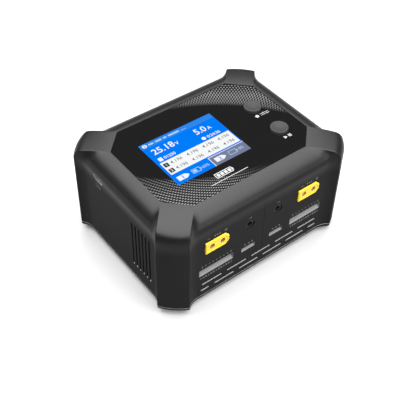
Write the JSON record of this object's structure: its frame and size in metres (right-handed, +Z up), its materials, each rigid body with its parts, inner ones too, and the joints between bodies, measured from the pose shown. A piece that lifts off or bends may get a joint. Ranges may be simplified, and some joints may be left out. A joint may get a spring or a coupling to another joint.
{
  "type": "balance battery charger",
  "caption": "Balance battery charger: dark box with corner pads, an octagonal top panel with a screen and push buttons, and power and balance sockets along the front.",
  "frame": {"origin": "centre of the rubber feet's contact plane", "axes": "+X to the right along the front, +Y from the socket side to the back, +Z up"},
  "size_m": [0.135, 0.105, 0.068],
  "materials": {
    "housing_plastic": "fine matte, dark grey",
    "base_plastic": "fine matte, black",
    "foot_rubber": "soft, matte",
    "panel_film": "matte film with a printed pattern of short dashes",
    "screen_face": "clear and smooth over a lit blue display",
    "lcd_metal": "thin pressed sheet",
    "circuit_board": "green solder mask",
    "button_plastic": "satin, slightly dished",
    "switch_body": "moulded",
    "switch_stem": "moulded",
    "shell_metal": "drawn shell",
    "socket_yellow": "satin nylon",
    "contact_gold": "gold plated",
    "header_nylon": "pale nylon",
    "jack_plastic": "moulded",
    "connector_black": "moulded",
    "heatsink_metal": "extruded",
    "chip_epoxy": "moulded package",
    "winding": "enamelled copper wire on a core",
    "capacitor_sleeve": "shrink sleeve over an aluminium can",
    "beeper_case": "moulded",
    "ribbon_cable": "flat cable",
    "transformer_tape": "ferrite core in yellow tape",
    "fuse_glass": "glass tube with metal caps",
    "spacer_brass": "hexagonal bar",
    "inlet_plastic": "moulded",
    "pin_metal": "nickel plated",
    "fan_plastic": "moulded",
    "shaft_steel": "ground",
    "bearing_bronze": "sintered",
    "screw_steel": "zinc plated",
    "screw_black": "black finish"
  },
  "bodies": {
    "charger": {"top_housing": "housing_plastic", "base_cover": "base_plastic", "foot_front_left": "foot_rubber", "foot_front_right": "foot_rubber", "foot_back_left": "foot_rubber", "foot_back_right": "foot_rubber", "control_panel": "panel_film", "screen_lens": "screen_face", "lcd_module": "lcd_metal", "display_board": "circuit_board", "setting_switch": "switch_body", "start_switch": "switch_body", "usb_socket": "shell_metal", "port_board": "circuit_board", "output_socket_left": "socket_yellow", "output_socket_right": "socket_yellow", "output_contacts_left": "contact_gold", "output_contacts_right": "contact_gold", "balance_socket_left": "header_nylon", "balance_socket_right": "header_nylon", "balance_pins_left": "contact_gold", "balance_pins_right": "contact_gold", "signal_socket_left": "header_nylon", "signal_socket_right": "header_nylon", "signal_pins_left": "contact_gold", "signal_pins_right": "contact_gold", "sensor_jack_left": "jack_plastic", "sensor_jack_right": "jack_plastic", "board_link": "connector_black", "charge_board": "circuit_board", "heatsink": "heatsink_metal", "power_transistors": "chip_epoxy", "inductor_left": "winding", "inductor_right": "winding", "output_capacitors": "capacitor_sleeve", "beeper": "beeper_case", "display_ribbon": "ribbon_cable", "supply_board": "circuit_board", "transformer": "transformer_tape", "bulk_capacitor": "capacitor_sleeve", "supply_heatsink": "heatsink_metal", "filter_choke": "winding", "fuse": "fuse_glass", "board_spacers": "spacer_brass", "mains_inlet": "inlet_plastic", "inlet_pins": "pin_metal", "dc_input_socket": "socket_yellow", "dc_input_pins": "contact_gold", "fan_frame": "fan_plastic", "fan_bearing": "bearing_bronze", "housing_screws": "screw_steel", "board_screws": "screw_steel", "fan_screws": "screw_black"},
    "setting_key": {"setting_button": "button_plastic", "setting_switch_stem": "switch_stem"},
    "start_key": {"start_button": "button_plastic", "start_switch_stem": "switch_stem"},
    "fan": {"fan_rotor": "fan_plastic", "fan_shaft": "shaft_steel"}
  },
  "joints": [
    {"name": "setting_press", "type": "slide", "parent": "charger", "child": "setting_key", "axis": [0, 0, -1], "range_m": [0, 0.0006], "stiffness_N_per_m": 800},
    {"name": "start_press", "type": "slide", "parent": "charger", "child": "start_key", "axis": [0, 0, -1], "range_m": [0, 0.0006], "stiffness_N_per_m": 800},
    {"name": "fan_spin", "type": "hinge", "parent": "charger", "child": "fan", "pos_m": [-0.02, 0.0421, 0.0328], "axis": [0, 1, 0], "continuous": true}
  ]
}
